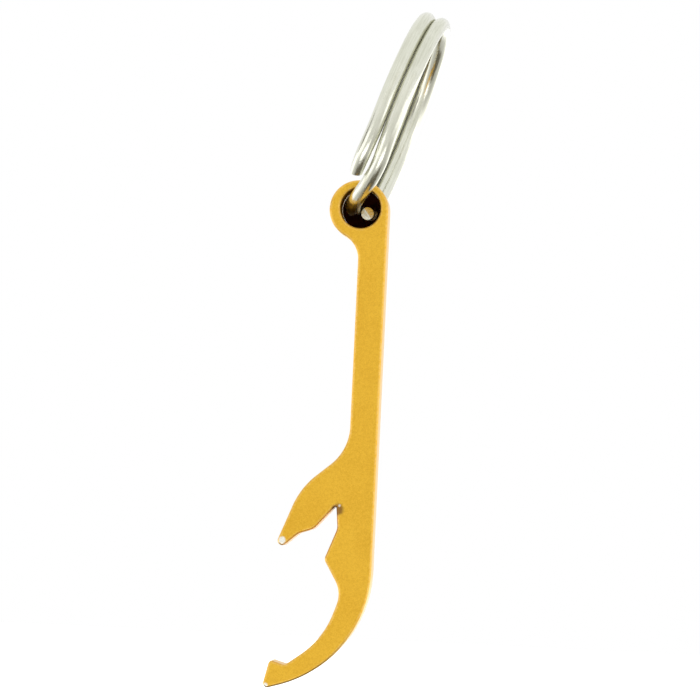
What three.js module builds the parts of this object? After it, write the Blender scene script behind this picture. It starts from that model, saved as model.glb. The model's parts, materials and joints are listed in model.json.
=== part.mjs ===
// A keychain bottle opener hanging from its split ring. Millimetres, +Z up.
//
// The origin is where a key or a hook carries the ring: the top of the ring's inner edge.
// The opener hangs below it with its profile in the XZ plane: its front face looks along -Y,
// its straight spine runs along Z on the right (+X), and its cap hook opens to the left (-X).
import * as THREE from "three";

const degrees = Math.PI / 180;

// Split ring: round spring wire, wound side by side for a little under two turns.
const ringOuterDiameter = 30.4;
const wireDiameter = 2.15;
const coilGap = 0.1; // between the two coils
const ringLean = 18.8 * degrees; // from straight up the opener's spine, towards +X
const ringTwist = -2.8 * degrees; // about its own height, as far as the bore's play lets it
const crossingStart = 368 * degrees; // where the wire leaves the left coil, inside the bore
const crossingLength = 56 * degrees;
const frontEnd = 47 * degrees; // the left coil's cut end, in front of the eye's rim
const frontEndSplay = 0.5; // how far the crossing wire holds that end off to the side
const splayLength = 38 * degrees;
const backEnd = 724 * degrees; // the right coil's cut end, halfway through the bore
const wireSides = 14;
const wireSteps = 132;

// Opener body: one slice of an extruded aluminium bar, with its edges tumbled round.
const sliceThickness = 10;
const edgeRounding = 0.35;
const edgeRoundingSteps = 2;
const arcStep = 9 * degrees; // longest step along any arc of the outline

// Eye: the bore that the ring runs through, and the rim round it.
const boreClearance = 0.5; // round untwisted coils in the middle of the bore
const hangingLift = 0.15; // how far the coils sit above that middle, with the opener's weight
const rimWidth = 1.3;
const boreShift = 0.2; // the bore sits this much nearer the spine than the eye's round does,
const boreRise = 0.25; // and this much above its centre
const neckFilletRadius = 3.8;

// Handle: a straight bar, flush with the eye on its spine.
const handleWidth = 3.9;
const handleLength = 33.7; // bore centre to the root of the leaf

// Head: the corners of the leaf, the can notch, the cap mouth and the tooth, in order.
// Each is so far from the spine, so far below the leaf's root, and rounded by so much.
const headCorners = [
  { name: "leaf root", fromSpine: handleWidth, below: 0, radius: 7 },
  { name: "leaf shoulder", fromSpine: 10.4, below: 5.5, radius: 11 },
  { name: "leaf tip", fromSpine: 14.15, below: 15.2, radius: 0.65 },
  { name: "leaf underside, outer bend", fromSpine: 10.35, below: 11.85, radius: 2 },
  { name: "leaf underside, inner bend", fromSpine: 8.3, below: 11.15, radius: 2 },
  { name: "can notch", fromSpine: 5.3, below: 7.65, radius: 0.2 },
  { name: "notch wall", fromSpine: 5.0, below: 10.95, radius: 2 },
  { name: "thumb of the mouth", fromSpine: 6.65, below: 15.3, radius: 0.9 },
  { name: "back of the mouth", fromSpine: 4.05, below: 19.8, radius: 4 },
  { name: "inside of the hook", fromSpine: 6.3, below: 26.35, radius: 12 },
  { name: "foot of the tooth", fromSpine: 11.45, below: 30.2, radius: 0.7 },
  { name: "tip of the tooth", fromSpine: 13.6, below: 29.55, radius: 0.5 },
  { name: "heel of the hook", fromSpine: 14.55, below: 33.7, radius: 0.6 },
];
const hookOuterRadius = 17; // the back of the hook is one arc that runs into the spine
const hookOuterBelow = 16.7; // its centre, below the leaf's root
const hookOuterEnd = 12.75; // where it meets the heel, from the spine

// Sizes that follow from those.
const wireRadius = wireDiameter / 2;
const coilPitch = wireDiameter + coilGap;
const ringRadius = ringOuterDiameter / 2 - wireRadius; // to the wire's centre
const halfThickness = sliceThickness / 2;
// The round coils dip inside the bore: this is how far, between a rim and halfway through.
const coilDip = ringRadius - Math.sqrt(ringRadius ** 2 - halfThickness ** 2);
const boreRadius = Math.hypot(coilPitch, coilDip) / 2 + wireRadius + boreClearance;
const eyeRadius = boreRadius + rimWidth;
const spineX = eyeRadius - boreShift; // from the bore's centre
const ringCentreToBore = ringRadius - coilDip / 2 + hangingLift;
const ringCentreToSeat = ringRadius - wireRadius;

// Points along an arc, from one angle through a sweep that is positive anticlockwise.
function arcPoints(centre, radius, start, sweep) {
  const steps = Math.max(2, Math.ceil(Math.abs(sweep) / arcStep));
  const points = [];
  for (let i = 0; i <= steps; i += 1) {
    const angle = start + (sweep * i) / steps;
    const spoke = new THREE.Vector2(Math.cos(angle), Math.sin(angle));
    points.push(spoke.multiplyScalar(radius).add(centre));
  }
  return points;
}

// Points of the arc that rounds the corner between two straight sides.
function roundedCorner(before, corner, after, radius) {
  const back = before.clone().sub(corner).normalize();
  const ahead = after.clone().sub(corner).normalize();
  const halfAngle = Math.acos(back.dot(ahead)) / 2;
  const inward = back.clone().add(ahead).normalize();
  const centre = inward.multiplyScalar(radius / Math.sin(halfAngle)).add(corner);
  const side = Math.sign(back.cross(ahead));
  const start = Math.atan2(back.y, back.x) + (side * Math.PI) / 2;
  const sweep = -side * (Math.PI - 2 * halfAngle);
  return arcPoints(centre, radius, start + Math.PI, sweep);
}

// The opener's outline, anticlockwise from the spine at the eye's right. The bore is at 0, 0.
function openerOutline() {
  const eyeCentre = new THREE.Vector2(-boreShift, -boreRise);
  const handleLeft = spineX - handleWidth;

  // The neck's hollow touches the eye's round and the handle's left side.
  const across = handleLeft - neckFilletRadius - eyeCentre.x;
  const down = Math.sqrt((eyeRadius + neckFilletRadius) ** 2 - across ** 2);
  const neckCentre = new THREE.Vector2(across, -down).add(eyeCentre);
  const neckAngle = Math.atan2(-down, across) + 2 * Math.PI;
  const eye = arcPoints(eyeCentre, eyeRadius, 0, neckAngle);
  const neck = arcPoints(neckCentre, neckFilletRadius, neckAngle - Math.PI, Math.PI - neckAngle);

  const hookCentre = new THREE.Vector2(
    spineX - hookOuterRadius,
    -handleLength - hookOuterBelow,
  );
  const hookEndAngle = -Math.acos((hookOuterRadius - hookOuterEnd) / hookOuterRadius);
  const hookBack = arcPoints(hookCentre, hookOuterRadius, hookEndAngle, -hookEndAngle);

  const corners = headCorners.map(({ fromSpine, below }) => {
    return new THREE.Vector2(spineX - fromSpine, -handleLength - below);
  });
  const head = corners.flatMap((corner, i) => {
    const before = i > 0 ? corners[i - 1] : neck[neck.length - 1];
    const after = i < corners.length - 1 ? corners[i + 1] : hookBack[0];
    return roundedCorner(before, corner, after, headCorners[i].radius);
  });
  return new THREE.Shape([...eye, ...neck.slice(1), ...head, ...hookBack.slice(1)]);
}

function openerBody() {
  const outline = openerOutline();
  const bore = arcPoints(new THREE.Vector2(0, 0), boreRadius, 0, -2 * Math.PI);
  outline.holes.push(new THREE.Path(bore.slice(1)));
  const slice = new THREE.ExtrudeGeometry(outline, {
    depth: sliceThickness - 2 * edgeRounding,
    bevelThickness: edgeRounding,
    bevelSize: edgeRounding,
    bevelOffset: -edgeRounding,
    bevelSegments: edgeRoundingSteps,
  });
  slice.translate(0, 0, edgeRounding - halfThickness);
  slice.rotateX(Math.PI / 2);
  const gold = new THREE.MeshStandardMaterial({ color: 0xe4b33c, roughness: 0.4, metalness: 1 });
  const mesh = new THREE.Mesh(slice, gold);
  mesh.name = "opener_body";
  return mesh;
}

// The wire's centre line, in the ring's own plane YZ about its centre. An angle of 0 is in the
// bore, 90 degrees is at the front and 180 is at the top.
class CoilPath extends THREE.Curve {
  getPoint(t, target = new THREE.Vector3()) {
    const angle = THREE.MathUtils.lerp(frontEnd, backEnd, t);
    const crossed = THREE.MathUtils.smoothstep(
      angle,
      crossingStart,
      crossingStart + crossingLength,
    );
    const settled = THREE.MathUtils.smoothstep(angle, frontEnd, frontEnd + splayLength);
    return target.set(
      coilPitch * (crossed - 0.5) - frontEndSplay * (1 - settled),
      -ringRadius * Math.sin(angle),
      -ringRadius * Math.cos(angle),
    );
  }
}

function splitRing() {
  const section = new THREE.Shape();
  section.absarc(0, 0, wireRadius, 0, 2 * Math.PI);
  const coil = new THREE.ExtrudeGeometry(section, {
    curveSegments: wireSides / 2,
    steps: wireSteps,
    extrudePath: new CoilPath(),
  });
  const nickel = new THREE.MeshStandardMaterial({
    color: 0xc9cbc4,
    roughness: 0.15,
    metalness: 1,
  });
  const mesh = new THREE.Mesh(coil, nickel);
  mesh.name = "split_ring";
  return mesh;
}

// The ring leans in its own group, with its seat at the origin. The opener hangs upright with
// its bore on the ring's wire.
const leaning = new THREE.Group();
leaning.rotation.y = ringLean;
const ring = splitRing();
ring.rotation.z = ringTwist;
ring.position.z = -ringCentreToSeat;
leaning.add(ring);

const opener = openerBody();
opener.position.set(0, 0, -ringCentreToSeat - ringCentreToBore);
opener.position.applyEuler(leaning.rotation);

const bottleOpener = new THREE.Group();
bottleOpener.add(leaning, opener);

export default bottleOpener;
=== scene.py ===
import json
import math

import bmesh
import bpy
from mathutils import Matrix, Quaternion, Vector
from mathutils.geometry import tessellate_polygon


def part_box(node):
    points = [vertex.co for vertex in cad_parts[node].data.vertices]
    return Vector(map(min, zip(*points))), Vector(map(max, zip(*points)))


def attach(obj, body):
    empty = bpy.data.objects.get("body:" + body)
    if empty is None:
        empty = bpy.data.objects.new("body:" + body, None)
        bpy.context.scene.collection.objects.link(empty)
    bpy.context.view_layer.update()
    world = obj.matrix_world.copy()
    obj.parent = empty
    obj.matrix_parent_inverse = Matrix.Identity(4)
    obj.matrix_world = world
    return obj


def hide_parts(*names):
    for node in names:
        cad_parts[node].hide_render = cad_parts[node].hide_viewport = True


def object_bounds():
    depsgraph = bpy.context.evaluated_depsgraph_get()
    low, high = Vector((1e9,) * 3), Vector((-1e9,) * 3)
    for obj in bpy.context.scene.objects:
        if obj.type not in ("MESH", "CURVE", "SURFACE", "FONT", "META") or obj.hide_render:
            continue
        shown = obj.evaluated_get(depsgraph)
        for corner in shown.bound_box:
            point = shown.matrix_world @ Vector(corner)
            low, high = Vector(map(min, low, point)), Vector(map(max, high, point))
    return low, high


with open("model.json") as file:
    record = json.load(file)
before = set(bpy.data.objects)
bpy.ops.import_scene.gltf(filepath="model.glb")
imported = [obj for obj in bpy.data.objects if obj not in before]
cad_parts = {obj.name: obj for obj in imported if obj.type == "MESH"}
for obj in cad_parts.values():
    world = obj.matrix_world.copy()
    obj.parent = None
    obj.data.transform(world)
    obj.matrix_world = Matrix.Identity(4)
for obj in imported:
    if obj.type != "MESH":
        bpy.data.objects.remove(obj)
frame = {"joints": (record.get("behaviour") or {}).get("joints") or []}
cad_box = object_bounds()

# ---------------------------------------------------------------------------------------------
# Opener body. One slice sawn off an extruded aluminium bar, tumbled until its edges are round,
# then anodised gold. Its profile lies in XZ and the slice is as deep as the bar was cut, in Y.
# ---------------------------------------------------------------------------------------------
mm = 0.001
bore_centre = Vector(frame["joints"][0]["pos_m"])
front_y, back_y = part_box("opener_body")[0].y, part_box("opener_body")[1].y
spine_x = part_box("opener_body")[1].x - bore_centre.x

edge_rounding = 0.4 * mm
edge_segments = 8
flat_margin = 0.06 * mm
bore_radius = 2.792 * mm
rim_width = 1.3 * mm
bore_shift, bore_rise = 0.2 * mm, 0.25 * mm
neck_radius = 3.8 * mm
handle_width, handle_length = 3.9 * mm, 33.7 * mm
hook_back_radius, hook_back_below, hook_back_end = 17.0 * mm, 16.7 * mm, 12.75 * mm
arc_step = math.radians(2.5)  # longest step along any arc of the outline

# Corners of the head in millimetres: from the spine, below the leaf's root, rounded by.
head_corners = {
    "leaf root": (3.9, 0.0, 7.0),
    "leaf shoulder": (10.4, 5.5, 11.0),
    "leaf tip": (14.15, 15.2, 0.65),
    "leaf underside, outer bend": (10.35, 11.85, 2.0),
    "leaf underside, inner bend": (8.3, 11.15, 2.0),
    "can notch": (5.3, 7.65, 0.2),
    "notch wall": (5.0, 10.95, 2.0),
    "thumb of the mouth": (6.65, 15.3, 0.9),
    "back of the mouth": (4.05, 19.8, 4.0),
    "inside of the hook": (6.3, 26.35, 12.0),
    "foot of the tooth": (11.45, 30.2, 0.7),
    "tip of the tooth": (13.6, 29.55, 0.5),
    "heel of the hook": (14.55, 33.7, 0.6),
}

# Worn spots and painted shade of the head in millimetres: from the spine, below the leaf's root,
# full as far as, gone beyond. The notch holds painted shade, and the worn tips are painted glints
# too.
worn_and_painted_spots = {
    "painted shade in the notch": (5.1, 8.3, 0.5, 1.1),
    "worn leaf tip with painted glint": (12.6, 12.9, 0.3, 0.65),
    "worn heel with painted glint": (13.95, 33.05, 0.1, 0.4),
    "worn notch root with painted glint": (4.85, 7.75, 0.05, 0.25),
}


def arc(centre, radius, start, sweep, solid_inside=True):
    """Points on an arc, each with the normal that leaves the metal there."""
    steps = max(3, math.ceil(abs(sweep) / arc_step))
    points = []
    for i in range(steps + 1):
        angle = start + sweep * i / steps
        spoke = Vector((math.cos(angle), math.sin(angle)))
        points.append((centre + spoke * radius, spoke if solid_inside else -spoke))
    return points


def rounded_corner(before, corner, after, radius):
    """The arc that rounds the corner between two straight sides of an anticlockwise outline."""
    back, ahead = (before - corner).normalized(), (after - corner).normalized()
    half_angle = back.angle(ahead) / 2
    centre = corner + (back + ahead).normalized() * radius / math.sin(half_angle)
    side = math.copysign(1, back.x * ahead.y - back.y * ahead.x)
    start = math.atan2(back.y, back.x) - side * math.pi / 2
    return arc(centre, radius, start, side * (2 * half_angle - math.pi), side < 0)


def opener_outline():
    """The outline about the bore's centre, anticlockwise from the spine at the eye's right."""
    eye_radius = bore_radius + rim_width
    eye_centre = Vector((-bore_shift, -bore_rise))
    handle_left = spine_x - handle_width
    across = handle_left - neck_radius - eye_centre.x
    down = math.sqrt((eye_radius + neck_radius) ** 2 - across**2)
    neck_centre = eye_centre + Vector((across, -down))
    neck_angle = math.atan2(-down, across) + 2 * math.pi
    eye = arc(eye_centre, eye_radius, 0, neck_angle)
    neck = arc(neck_centre, neck_radius, neck_angle - math.pi, math.pi - neck_angle, False)

    hook_centre = Vector((spine_x - hook_back_radius, -handle_length - hook_back_below))
    hook_end = -math.acos((hook_back_radius - hook_back_end) / hook_back_radius)
    hook_back = arc(hook_centre, hook_back_radius, hook_end, -hook_end)

    corners = [
        Vector((spine_x - from_spine * mm, -handle_length - below * mm))
        for from_spine, below, _ in head_corners.values()
    ]
    roundings = [radius * mm for _, _, radius in head_corners.values()]
    stops = [neck[-1][0], *corners, hook_back[0][0]]
    head = []
    for before, corner, after, radius in zip(stops, corners, stops[2:], roundings):
        head += rounded_corner(before, corner, after, radius)
    return eye + neck[1:] + head + hook_back[1:]


def cross_section():
    """From one face to the other: depth in Y, inset, and how far into the rounding it is."""
    quarter = [i / edge_segments * math.pi / 2 for i in range(edge_segments + 1)]
    front = [
        (
            front_y + edge_rounding * (1 - math.cos(turn)),
            edge_rounding * (1 - math.sin(turn)),
            math.sin(2 * turn),
        )
        for turn in quarter
    ]
    # A narrow flat margin inside the rounding keeps the face's shading level.
    front.insert(0, (front_y, edge_rounding + flat_margin, 0.0))
    back = [(front_y + back_y - y, inset, turned) for y, inset, turned in reversed(front)]
    return front + back


def opener_mesh():
    """The outline and the bore, carried through the rounded cross section and closed."""
    bm = bmesh.new()
    rounding_layer = bm.verts.layers.float.new("rounding")
    outline = opener_outline()
    bore = arc(Vector((0, 0)), bore_radius, 0, -2 * math.pi, False)[:-1]
    loops = {}
    for name, points in (("outline", outline), ("bore", bore)):
        rings = []
        for y, inset, turned in cross_section():
            ring = []
            for point, normal in points:
                place = point - normal * inset
                vert = bm.verts.new((bore_centre.x + place.x, y, bore_centre.z + place.y))
                vert[rounding_layer] = turned
                ring.append(vert)
            rings.append(ring)
        for near, far in zip(rings, rings[1:]):
            for i in range(len(points)):
                j = (i + 1) % len(points)
                bm.faces.new((near[i], near[j], far[j], far[i]))
        loops[name] = rings
    for end in (0, -1):
        margins = [rings[end] for rings in loops.values()]
        margin_verts = [vert for margin in margins for vert in margin]
        flat_loops = [[Vector((v.co.x, v.co.z, 0)) for v in margin] for margin in margins]
        for corner_numbers in tessellate_polygon(flat_loops):
            bm.faces.new([margin_verts[n] for n in corner_numbers])
    bmesh.ops.recalc_face_normals(bm, faces=bm.faces)
    for face in bm.faces:
        face.smooth = True
    mesh = bpy.data.meshes.new("opener")
    bm.to_mesh(mesh)
    bm.free()
    return mesh


class Nodes:
    """A node tree, of a material, of a modifier or of the world, with one way to add a node."""

    def __init__(self, tree):
        self.tree = tree

    def node(self, kind, inputs=None, output=0, **settings):
        """Adds a node: its settings first, then the values or links of its sockets."""
        made = self.tree.nodes.new(kind)
        for key, value in settings.items():
            setattr(made, key, value)
        for key, value in (inputs or {}).items():
            self.feed(made.inputs[key], value)
        return Value(self, made.outputs[output])

    def feed(self, socket, value):
        if isinstance(value, Value):
            self.tree.links.new(value.socket, socket)
        elif socket.type == "RGBA":
            socket.default_value = (*value, 1)
        else:
            socket.default_value = value

    def blend(self, factor, first, second):
        """One colour goes over into another as the factor goes from 0 to 1."""
        inputs = {"Factor": factor, 6: first, 7: second}
        return self.node("ShaderNodeMix", inputs, output=2, data_type="RGBA")

    def noise(self, place, size, detail=3.0, roughness=0.6, stretch=None, turn=(0, 0, 0)):
        """Noise whose blots are about one size across, stretched along one axis if given."""
        if stretch:
            settings = {"Vector": place, "Scale": stretch, "Rotation": turn}
            place = self.node("ShaderNodeMapping", settings)
        inputs = {"Vector": place, "Scale": 1 / size, "Detail": detail, "Roughness": roughness}
        return self.node("ShaderNodeTexNoise", inputs)


class Value:
    """A node's output. Sums on it add Math nodes to its tree."""

    def __init__(self, nodes, socket):
        self.nodes, self.socket = nodes, socket

    def math(self, operation, first, second=0.0):
        return self.nodes.node("ShaderNodeMath", {0: first, 1: second}, operation=operation)

    def __add__(self, other):
        return self.math("ADD", self, other)

    def __radd__(self, other):
        return self.math("ADD", other, self)

    def __sub__(self, other):
        return self.math("SUBTRACT", self, other)

    def __rsub__(self, other):
        return self.math("SUBTRACT", other, self)

    def __mul__(self, other):
        return self.math("MULTIPLY", self, other)

    def __rmul__(self, other):
        return self.math("MULTIPLY", other, self)

    def __truediv__(self, other):
        return self.math("DIVIDE", self, other)

    def __abs__(self):
        return self.math("ABSOLUTE", self)

    def least(self, other):
        return self.math("MINIMUM", self, other)

    def between(self, low, high):
        """0 below low and 1 above high, with a soft step between."""
        inputs = {"Value": self, "From Min": low, "From Max": high}
        return self.nodes.node("ShaderNodeMapRange", inputs, interpolation_type="SMOOTHSTEP")


def new_material(name):
    """A material's nodes and the shader that they feed."""
    material = bpy.data.materials.new(name)
    material.use_nodes = True
    return material, Nodes(material.node_tree), material.node_tree.nodes["Principled BSDF"]


def satin_gold_anodising():
    """Dyed oxide on aluminium: satin from tumbling, with the bar's die lines left on its walls."""
    material, nodes, shader = new_material("satin_gold_anodising")
    place = nodes.node("ShaderNodeTexCoord", output="Object")
    rounding = nodes.node("ShaderNodeAttribute", output="Fac", attribute_name="rounding")
    depth = nodes.node("ShaderNodeSeparateXYZ", {"Vector": place}, output="Y")
    face = abs(depth).between(back_y - edge_rounding, back_y - 0.1 * mm)

    grain = nodes.noise(place, 0.16 * mm, detail=2.0)
    blots = nodes.noise(place, 0.5 * mm, roughness=0.7)
    cloud = nodes.noise(place, 6 * mm, detail=2.0)
    die_lines = nodes.noise(place, 0.12 * mm, stretch=(1, 0.01, 1))
    rubs = nodes.noise(place, 0.12 * mm, stretch=(1, 1, 0.035), turn=(0, 0.45, 0))
    hairlines = nodes.noise(place, 0.09 * mm, stretch=(0.03, 1, 1), turn=(0, -0.5, 0))

    deep, light, thin = (0.78, 0.425, 0.02), (0.9, 0.54, 0.04), (0.88, 0.64, 0.32)
    tone = (grain * 0.45 + blots * 0.35 + cloud * 0.2).between(0.38, 0.62)
    colour = nodes.blend(tone, deep, light)
    colour = nodes.blend(rounding * blots.between(0.3, 0.7) * 0.42, colour, thin)

    def near(from_spine, below, inner, outer):
        """1 within the inner distance of a point of the head, and 0 beyond the outer one."""
        point = bore_centre + Vector((spine_x - from_spine * mm, 0, -handle_length - below * mm))
        inputs = {0: place, 1: (1, 0, 1)}
        in_profile = nodes.node("ShaderNodeVectorMath", inputs, operation="MULTIPLY")
        inputs = {0: in_profile, 1: (point.x, 0, point.z)}
        away = nodes.node("ShaderNodeVectorMath", inputs, output="Value", operation="DISTANCE")
        return 1 - (away + (blots - 0.5) * 0.5 * mm).between(inner * mm, outer * mm)

    # Painted shade darkens the root of the notch. The tips that pry are rubbed through to the
    # metal.
    notch_shade, worn_metal_and_glint = (0.22, 0.09, 0.015), (0.97, 0.96, 0.90)
    shade_in_notch = near(*worn_and_painted_spots["painted shade in the notch"])
    colour = nodes.blend(shade_in_notch * 0.85, colour, notch_shade)
    # Painted highlight: the worn tips are painted near white, which stands in for the glints on
    # them as well as for the metal that shows through.
    wear_and_glint = near(*worn_and_painted_spots["worn leaf tip with painted glint"]) + near(*worn_and_painted_spots["worn heel with painted glint"])
    wear_and_glint = wear_and_glint + near(*worn_and_painted_spots["worn notch root with painted glint"]) * 0.7
    colour = nodes.blend(wear_and_glint, colour, worn_metal_and_glint)

    roughness = 0.33 + grain * 0.1 + blots * 0.08 + cloud * 0.05 - wear_and_glint * 0.16
    roughness = roughness - rubs.between(0.58, 0.72) * 0.06 * face
    marks = rubs.between(0.6, 0.8) + hairlines.between(0.62, 0.8)
    height = grain * 0.5 + blots * 0.5 + (1 - face) * die_lines * 0.7 - face * marks * 0.3
    bump = nodes.node("ShaderNodeBump", {"Strength": 0.3, "Distance": 0.012 * mm, "Height": height})
    nodes.feed(shader.inputs["Base Color"], colour)
    nodes.feed(shader.inputs["Roughness"], roughness)
    nodes.feed(shader.inputs["Normal"], bump)
    shader.inputs["Metallic"].default_value = 1.0
    shader.inputs["Coat Weight"].default_value = 0.5
    shader.inputs["Coat Roughness"].default_value = 0.3
    return material


opener = bpy.data.objects.new("opener", opener_mesh())
bpy.context.scene.collection.objects.link(opener)
opener.data.materials.append(satin_gold_anodising())
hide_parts("opener_body")
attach(opener, "opener")

# ---------------------------------------------------------------------------------------------
# Split ring. Round spring wire, nickel plated, wound side by side for a little under two turns.
# It crosses from one coil to the other where it leaves the opener's eye, and holds the end of
# the front coil off there. The two ends are nipped off, which leaves them wedge shaped.
# ---------------------------------------------------------------------------------------------
ring_outer_diameter = 30.4 * mm
wire_diameter = 2.15 * mm
coil_gap = 0.02 * mm
ring_lean, ring_twist = math.radians(18.8), math.radians(-2.8)
crossing_start, crossing_length = math.radians(368), math.radians(56)
front_end, back_end = math.radians(47), math.radians(724)
front_end_splay, splay_length = 0.5 * mm, math.radians(38)
end_wedge, end_rounding, nipped_length = 0.3 * mm, 0.2 * mm, 1.2 * mm
groove_width = 0.3  # of the wire's radius, on each side of the line where the coils meet
wire_stations, wire_sides = 420, 48

wire_radius = wire_diameter / 2
ring_radius = ring_outer_diameter / 2 - wire_radius


def bright_nickel_plate():
    """Nickel over drawn wire: drawing lines along it, rub marks, and dirt with painted shade
    between the coils.
    """
    material, nodes, shader = new_material("bright_nickel_plate")
    place = nodes.node("ShaderNodeTexCoord", output="Object")
    along = nodes.node("ShaderNodeAttribute", output="Fac", attribute_name="along")
    around = nodes.node("ShaderNodeAttribute", output="Fac", attribute_name="around")
    groove = nodes.node("ShaderNodeAttribute", output="Fac", attribute_name="groove")

    # The wire unrolled, its length drawn together so that the lines run along it.
    length, girth = 12 * mm, 6 * mm
    unrolled = nodes.node("ShaderNodeCombineXYZ", {"X": along * length, "Y": around * girth})
    drawn = nodes.noise(unrolled, 0.28 * mm, detail=4.0)
    film = nodes.noise(place, 2.2 * mm)
    scuffs = nodes.noise(place, 0.3 * mm, detail=4.0, roughness=0.7)

    clean, dull, dirt_and_shade = (0.84, 0.84, 0.755), (0.62, 0.62, 0.52), (0.55, 0.54, 0.41)
    colour = nodes.blend(film * 0.6 + drawn.between(0.4, 0.65) * 0.4, clean, dull)
    # Painted shade, with some dirt: the wire is darker and rougher where the coils meet.
    colour = nodes.blend(groove * 0.5, colour, dirt_and_shade)
    roughness = 0.1 + film * 0.1 + scuffs.between(0.5, 0.75) * 0.12 + groove * 0.3
    height = drawn * 0.7 + scuffs * 0.3
    bump = nodes.node("ShaderNodeBump", {"Strength": 0.7, "Distance": 0.06 * mm, "Height": height})
    nodes.feed(shader.inputs["Base Color"], colour)
    nodes.feed(shader.inputs["Roughness"], roughness)
    nodes.feed(shader.inputs["Normal"], bump)
    shader.inputs["Metallic"].default_value = 1.0
    return material


def wound_wire(material):
    """Sweeps the wire's round section along its two coils, with Geometry Nodes."""
    sizes = {
        "Stations": wire_stations,
        "Sides": wire_sides,
        "Ring radius": ring_radius,
        "Wire radius": wire_radius,
        "Coil pitch": wire_diameter + coil_gap,
        "Front end": front_end,
        "Back end": back_end,
        "Crossing start": crossing_start,
        "Crossing end": crossing_start + crossing_length,
        "Splay": front_end_splay,
        "Splay end": front_end + splay_length,
        "End rounding": end_rounding,
    }
    tree = bpy.data.node_groups.new("wound_wire", "GeometryNodeTree")
    identifiers = {}
    for name, value in sizes.items():
        kind = "NodeSocketInt" if isinstance(value, int) else "NodeSocketFloat"
        made = tree.interface.new_socket(name, in_out="INPUT", socket_type=kind)
        identifiers[name] = made.identifier
    tree.interface.new_socket("Geometry", in_out="OUTPUT", socket_type="NodeSocketGeometry")
    nodes = Nodes(tree)
    group_input = tree.nodes.new("NodeGroupInput")
    size = {name: Value(nodes, group_input.outputs[name]) for name in sizes}

    # The stations crowd towards the two ends, where the wire is rounded off.
    line = nodes.node("GeometryNodeCurvePrimitiveLine")
    line = nodes.node("GeometryNodeResampleCurve", {"Curve": line, "Count": size["Stations"]})
    share = nodes.node("GeometryNodeSplineParameter", output="Factor")
    share = 0.5 - share.math("COSINE", share * math.pi) * 0.5
    sweep = size["Back end"] - size["Front end"]
    angle = size["Front end"] + share * sweep
    crossed = angle.between(size["Crossing start"], size["Crossing end"])
    settled = angle.between(size["Front end"], size["Splay end"])
    station = {
        "X": size["Coil pitch"] * (crossed - 0.5) - size["Splay"] * (1 - settled),
        "Y": 0 - size["Ring radius"] * angle.math("SINE", angle),
        "Z": 0 - size["Ring radius"] * angle.math("COSINE", angle),
    }
    station = nodes.node("ShaderNodeCombineXYZ", station)
    line = nodes.node("GeometryNodeSetPosition", {"Geometry": line, "Position": station})

    to_end = share.least(1 - share) * sweep * size["Ring radius"]
    short = 1 - (to_end / size["End rounding"]).least(1.0)
    inset = 1 - short.math("SQRT", 1 - short * short)
    radius = 1 - inset * size["End rounding"] / size["Wire radius"]
    line = nodes.node(
        "GeometryNodeStoreNamedAttribute", {"Geometry": line, "Name": "along", "Value": share}
    )
    round_inputs = {"Resolution": size["Sides"], "Radius": size["Wire radius"]}
    section = nodes.node("GeometryNodeCurvePrimitiveCircle", round_inputs)
    around = nodes.node("GeometryNodeSplineParameter", output="Factor")
    section = nodes.node(
        "GeometryNodeStoreNamedAttribute", {"Geometry": section, "Name": "around", "Value": around}
    )
    swept = {"Curve": line, "Profile Curve": section, "Scale": radius, "Fill Caps": True}
    wire = nodes.node("GeometryNodeCurveToMesh", swept)
    x = nodes.node(
        "ShaderNodeSeparateXYZ", {"Vector": nodes.node("GeometryNodeInputPosition")}, output="X"
    )
    groove = 1 - abs(x).between(0.0, groove_width * size["Wire radius"])
    wire = nodes.node(
        "GeometryNodeStoreNamedAttribute", {"Geometry": wire, "Name": "groove", "Value": groove}
    )
    wire = nodes.node("GeometryNodeSetShadeSmooth", {"Geometry": wire})
    wire = nodes.node("GeometryNodeRealizeInstances", {"Geometry": wire})
    wire = nodes.node("GeometryNodeSetMaterial", {"Geometry": wire, "Material": material})
    tree.links.new(wire.socket, tree.nodes.new("NodeGroupOutput").inputs[0])

    maker = bpy.data.objects.new("wire_maker", bpy.data.meshes.new("wire_maker"))
    bpy.context.scene.collection.objects.link(maker)
    modifier = maker.modifiers.new("wound_wire", "NODES")
    modifier.node_group = tree
    for name, value in sizes.items():
        modifier[identifiers[name]] = value
    shown = maker.evaluated_get(bpy.context.evaluated_depsgraph_get())
    mesh = bpy.data.meshes.new_from_object(shown)
    bpy.data.objects.remove(maker)
    return mesh


def nip_ends(mesh):
    """Turns each flat end into the two slopes that a pair of nippers leaves."""
    bm = bmesh.new()
    bm.from_mesh(mesh)
    for cap in [face for face in bm.faces if len(face.verts) > 4]:
        middle, outward = cap.calc_center_median(), cap.normal.copy()
        rim = list(cap.verts)
        ridge = rim[len(rim) * 3 // 8], rim[len(rim) * 7 // 8]
        across = (ridge[0].co - middle).cross(outward).normalized()
        for vert in bm.verts:
            from_middle = vert.co - middle
            inside = -from_middle.dot(outward)
            beside = (from_middle - outward * from_middle.dot(outward)).length
            if -0.001 * mm < inside < nipped_length and beside < 1.2 * wire_radius:
                slope = abs(from_middle.dot(across)) / wire_radius
                vert.co -= outward * end_wedge * slope * (1 - max(0, inside) / nipped_length)
        other_half, _ = bmesh.utils.face_split(cap, *ridge)
        for face in (cap, other_half):
            face.smooth = False
    bm.to_mesh(mesh)
    bm.free()


ring_mesh = wound_wire(bright_nickel_plate())
nip_ends(ring_mesh)
lean = Matrix.Rotation(ring_lean, 4, "Y")
seat_to_centre = Matrix.Translation((0, 0, wire_radius - ring_radius))
ring_mesh.transform(lean @ seat_to_centre @ Matrix.Rotation(ring_twist, 4, "Z"))
ring = bpy.data.objects.new("ring_wire", ring_mesh)
bpy.context.scene.collection.objects.link(ring)
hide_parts("split_ring")
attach(ring, "ring")
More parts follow.
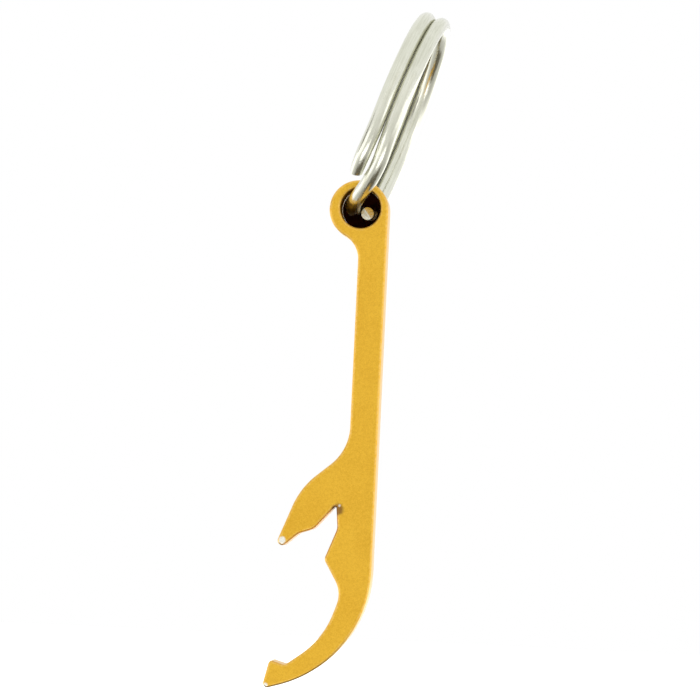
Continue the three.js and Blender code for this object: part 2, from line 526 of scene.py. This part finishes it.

# ---------------------------------------------------------------------------------------------
# Studio. The opener hangs above a pale floor, in white light from all round, with a lamp low in
# front of it. Three cards give the bright metal its darker lines, and a dark disc in the bore,
# painted shade, stands for the dark that shows through there.
# ---------------------------------------------------------------------------------------------
floor_mesh = bpy.data.meshes.new("studio_floor")
reach, floor_height = 15.0, -0.4
glow_start, glow_full = 0.45, 1.3  # where the floor goes over into white
corners = [(-reach, -reach), (reach, -reach), (reach, reach), (-reach, reach)]
floor_mesh.from_pydata([(x, y, floor_height) for x, y in corners], [], [(0, 1, 2, 3)])
floor = bpy.data.objects.new("studio_floor", floor_mesh)
bpy.context.scene.collection.objects.link(floor)
floor_material, nodes, shader = new_material("pale_floor")
place = nodes.node("ShaderNodeTexCoord", output="Object")
away = nodes.node("ShaderNodeVectorMath", {0: place}, output="Value", operation="LENGTH")
glow = nodes.blend(away.between(glow_start, glow_full), (0, 0, 0), (1, 1, 1))
nodes.feed(shader.inputs["Emission Color"], glow)
shader.inputs["Emission Strength"].default_value = 1.0
shader.inputs["Base Color"].default_value = (0.62, 0.61, 0.59, 1)
shader.inputs["Roughness"].default_value = 0.9
floor_mesh.materials.append(floor_material)

world = bpy.data.worlds.new("studio")
world.use_nodes = True
bpy.context.scene.world = world
nodes = Nodes(world.node_tree)
towards = nodes.node("ShaderNodeTexCoord", output="Generated")
height = nodes.node("ShaderNodeSeparateXYZ", {"Vector": towards}, output="Z")
wall_light, ceiling_light = (1, 1, 1), (0.95, 0.96, 0.93)
light_round = nodes.blend(height.between(0.12, 0.5), wall_light, ceiling_light)
nodes.feed(world.node_tree.nodes["Background"].inputs["Color"], light_round)

middle = (cad_box[0] + cad_box[1]) / 2


def facing(name, data, direction, distance):
    """Puts a lamp or a card round the opener, so that it faces the opener's middle."""
    thing = bpy.data.objects.new(name, data)
    bpy.context.scene.collection.objects.link(thing)
    away = Vector(direction).normalized()
    thing.location = middle + away * distance
    thing.rotation_euler = away.to_track_quat("Z", "Y").to_euler()
    thing.visible_camera = False
    return thing


lamp_brightness = 1.5
lamp = bpy.data.lights.new("low_lamp", "AREA")
lamp.shape, lamp.size, lamp.size_y = "RECTANGLE", 0.24, 0.1
lamp.energy = lamp_brightness * math.pi * lamp.size * lamp.size_y
facing("low_lamp", lamp, (-0.12, -0.66, -0.7), 0.3)


def matt(name, colour):
    """Card with no shine of its own."""
    material, _, shader = new_material(name)
    shader.inputs["Base Color"].default_value = (*colour, 1)
    shader.inputs["Roughness"].default_value = 1.0
    shader.inputs["Specular IOR Level"].default_value = 0.0
    return material


def card(name, material, direction, distance, width, height):
    """A card that only reflections see. It gives bright metal its darker lines."""
    mesh = bpy.data.meshes.new(name)
    w, h = width / 2, height / 2
    mesh.from_pydata([(-w, -h, 0), (w, -h, 0), (w, h, 0), (-w, h, 0)], [], [(0, 1, 2, 3)])
    mesh.materials.append(material)
    made = facing(name, mesh, direction, distance)
    made.visible_shadow = made.visible_diffuse = False


pale, dark = matt("pale_card", (0.88, 0.88, 0.87)), matt("dark_card", (0.16, 0.145, 0.11))
card("front_card", pale, (0.0, -1.0, 0.0), distance=0.6, width=1.3, height=1.2)
card("ring_card", dark, (-0.08, -0.012, 0.036), distance=0.09, width=0.03, height=0.036)
card("hook_card", dark, (0.0, 0.1, -1.0), distance=0.105, width=0.13, height=0.13)

# Painted shade: a dark matt disc in the bore, which the camera sees where the bore shows dark.
disc_mesh = bpy.data.meshes.new("bore_disc")
disc_radius, disc_depth, disc_sides = bore_radius - 0.02 * mm, 3.6 * mm, 48
turns = [i / disc_sides * 2 * math.pi for i in range(disc_sides)]
rim = [
    bore_centre + Vector((disc_radius * math.cos(turn), disc_depth, disc_radius * math.sin(turn)))
    for turn in turns
]
disc_mesh.from_pydata(rim, [], [range(disc_sides)])
disc_mesh.materials.append(matt("bore_painted_shade", (0.04, 0.01, 0.005)))
bore_disc = bpy.data.objects.new("bore_disc", disc_mesh)
bpy.context.scene.collection.objects.link(bore_disc)

# The camera stands in front, a little to the right and a little low, with a long lens. It is
# turned a little, so that the opener leans.
aim = bore_centre + Vector((-0.52 * mm, front_y, -19.8 * mm))
azimuth, elevation, roll = math.radians(2.0), math.radians(-1.1), math.radians(2.7)
distance, seen_width = 1.0, 97.2 * mm
back = Vector(
    (
        math.sin(azimuth) * math.cos(elevation),
        -math.cos(azimuth) * math.cos(elevation),
        math.sin(elevation),
    )
)
camera_data = bpy.data.cameras.new("camera")
camera = bpy.data.objects.new("camera", camera_data)
bpy.context.scene.collection.objects.link(camera)
camera.location = aim + back * distance
camera.rotation_mode = "QUATERNION"
camera.rotation_quaternion = back.to_track_quat("Z", "Y") @ Quaternion((0, 0, 1), roll)
camera_data.sensor_width = 36.0
camera_data.lens = camera_data.sensor_width * distance / seen_width
camera_data.clip_start, camera_data.clip_end = 0.01, 100.0
bpy.context.scene.camera = camera
bpy.context.scene.view_settings.view_transform = "Standard"
